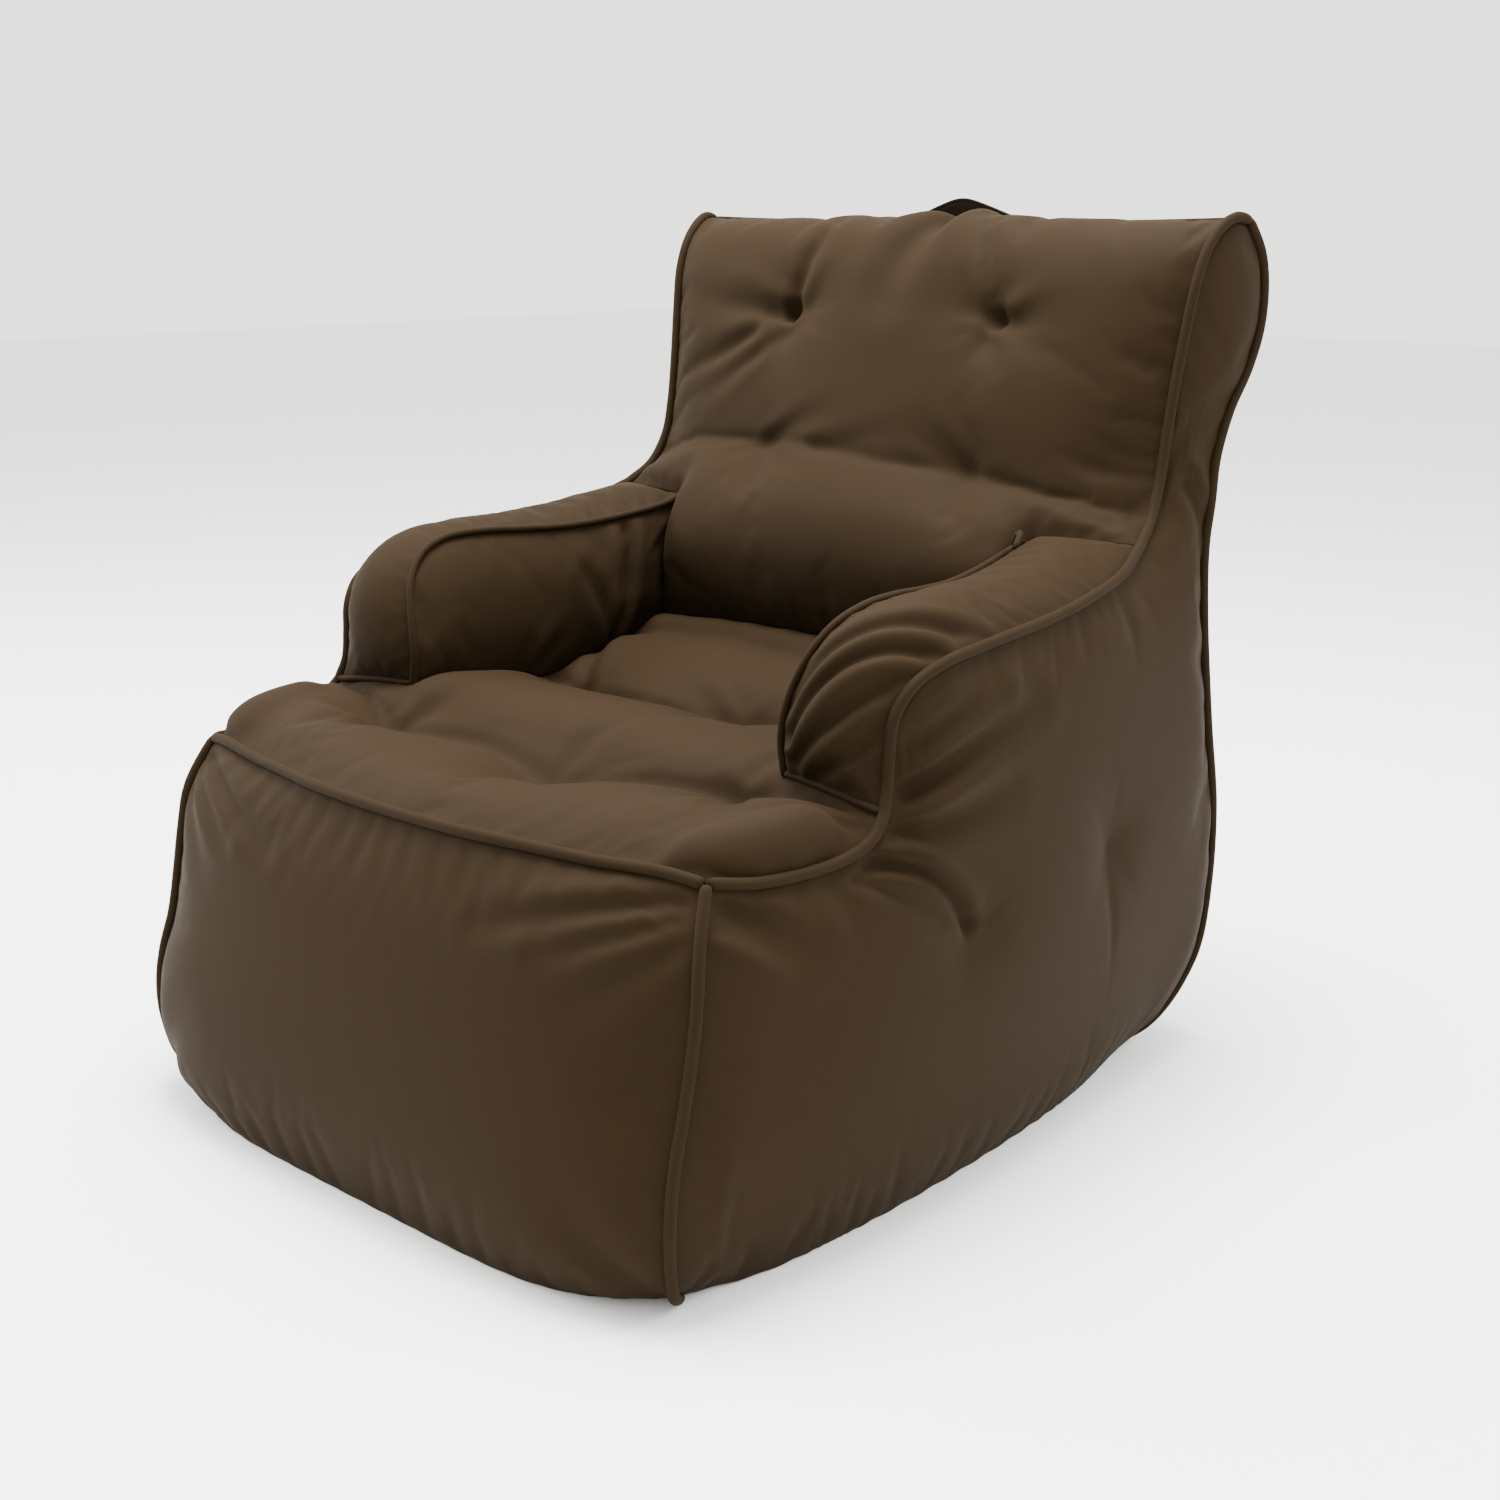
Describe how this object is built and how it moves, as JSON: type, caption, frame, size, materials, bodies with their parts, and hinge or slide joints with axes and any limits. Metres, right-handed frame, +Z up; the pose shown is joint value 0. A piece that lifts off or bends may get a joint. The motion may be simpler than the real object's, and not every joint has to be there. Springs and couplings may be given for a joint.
{
  "type": "bean bag chair",
  "caption": "Bean bag armchair: tufted fabric seat and backrest, padded arms, piped seams, carry handle and a zip low on the back.",
  "frame": {"origin": "on the floor, under the middle of the chair's overall box", "axes": "+Z up; the sitter faces -Y; +X is to the right of someone who stands in front of the chair"},
  "size_m": [0.7822, 0.902, 0.8767],
  "materials": {
    "cover_cloth": "matt dark brown smooth woven cloth",
    "piping_cloth": "matt dark brown cloth over cord",
    "handle_webbing": "matt dark brown folded cloth strap with stitched edges",
    "liner_cloth": "matt off-white plain weave",
    "bead_fill": "matt white expanded beads",
    "tie_cord": "matt braided cord",
    "zip_tape": "matt ribbed tape",
    "zip_coil": "satin nylon coil",
    "zip_metal": "satin dark brown paint"
  },
  "bodies": {
    "chair": {"back_panel": "cover_cloth", "backrest_bead_fill": "bead_fill", "backrest_liner": "liner_cloth", "backrest_panel": "cover_cloth", "backrest_tuft_ties": "tie_cord", "base_panel": "cover_cloth", "front_panel": "cover_cloth", "front_welt": "piping_cloth", "handle_patches": "handle_webbing", "left_arm_band": "cover_cloth", "left_arm_bead_fill": "bead_fill", "left_arm_front_piping": "piping_cloth", "left_arm_inner_panel": "cover_cloth", "left_arm_inner_piping": "piping_cloth", "left_arm_liner": "liner_cloth", "left_corner_piping": "piping_cloth", "left_main_welt": "piping_cloth", "left_rear_welt": "piping_cloth", "left_side_panel": "cover_cloth", "right_arm_band": "cover_cloth", "right_arm_bead_fill": "bead_fill", "right_arm_front_piping": "piping_cloth", "right_arm_inner_panel": "cover_cloth", "right_arm_inner_piping": "piping_cloth", "right_arm_liner": "liner_cloth", "right_corner_piping": "piping_cloth", "right_main_welt": "piping_cloth", "right_rear_welt": "piping_cloth", "right_side_panel": "cover_cloth", "seat_bead_fill": "bead_fill", "seat_liner": "liner_cloth", "seat_panel": "cover_cloth", "seat_tuft_ties": "tie_cord", "side_tuft_ties": "tie_cord", "top_welt": "piping_cloth", "zip_chain": "zip_coil", "zip_end_stops": "zip_metal", "zip_tape_lower": "zip_tape", "zip_tape_upper": "zip_tape"},
    "handle": {"carry_handle": "handle_webbing"},
    "slider": {"zip_slider": "zip_metal"},
    "pull": {"zip_pull": "zip_metal"}
  },
  "joints": [
    {"name": "handle_swing", "type": "hinge", "parent": "chair", "child": "handle", "pos_m": [0, 0.4395, 0.8085], "axis": [-1, 0, 0], "range_deg": [0, 165]},
    {"name": "zip_slide", "type": "slide", "parent": "chair", "child": "slider", "axis": [-1, 0, 0], "range_m": [0, 0.536]},
    {"name": "zip_pull_swing", "type": "hinge", "parent": "slider", "child": "pull", "pos_m": [0.268, 0.4302, 0.115], "axis": [0, 0, 1], "range_deg": [0, 178]}
  ]
}
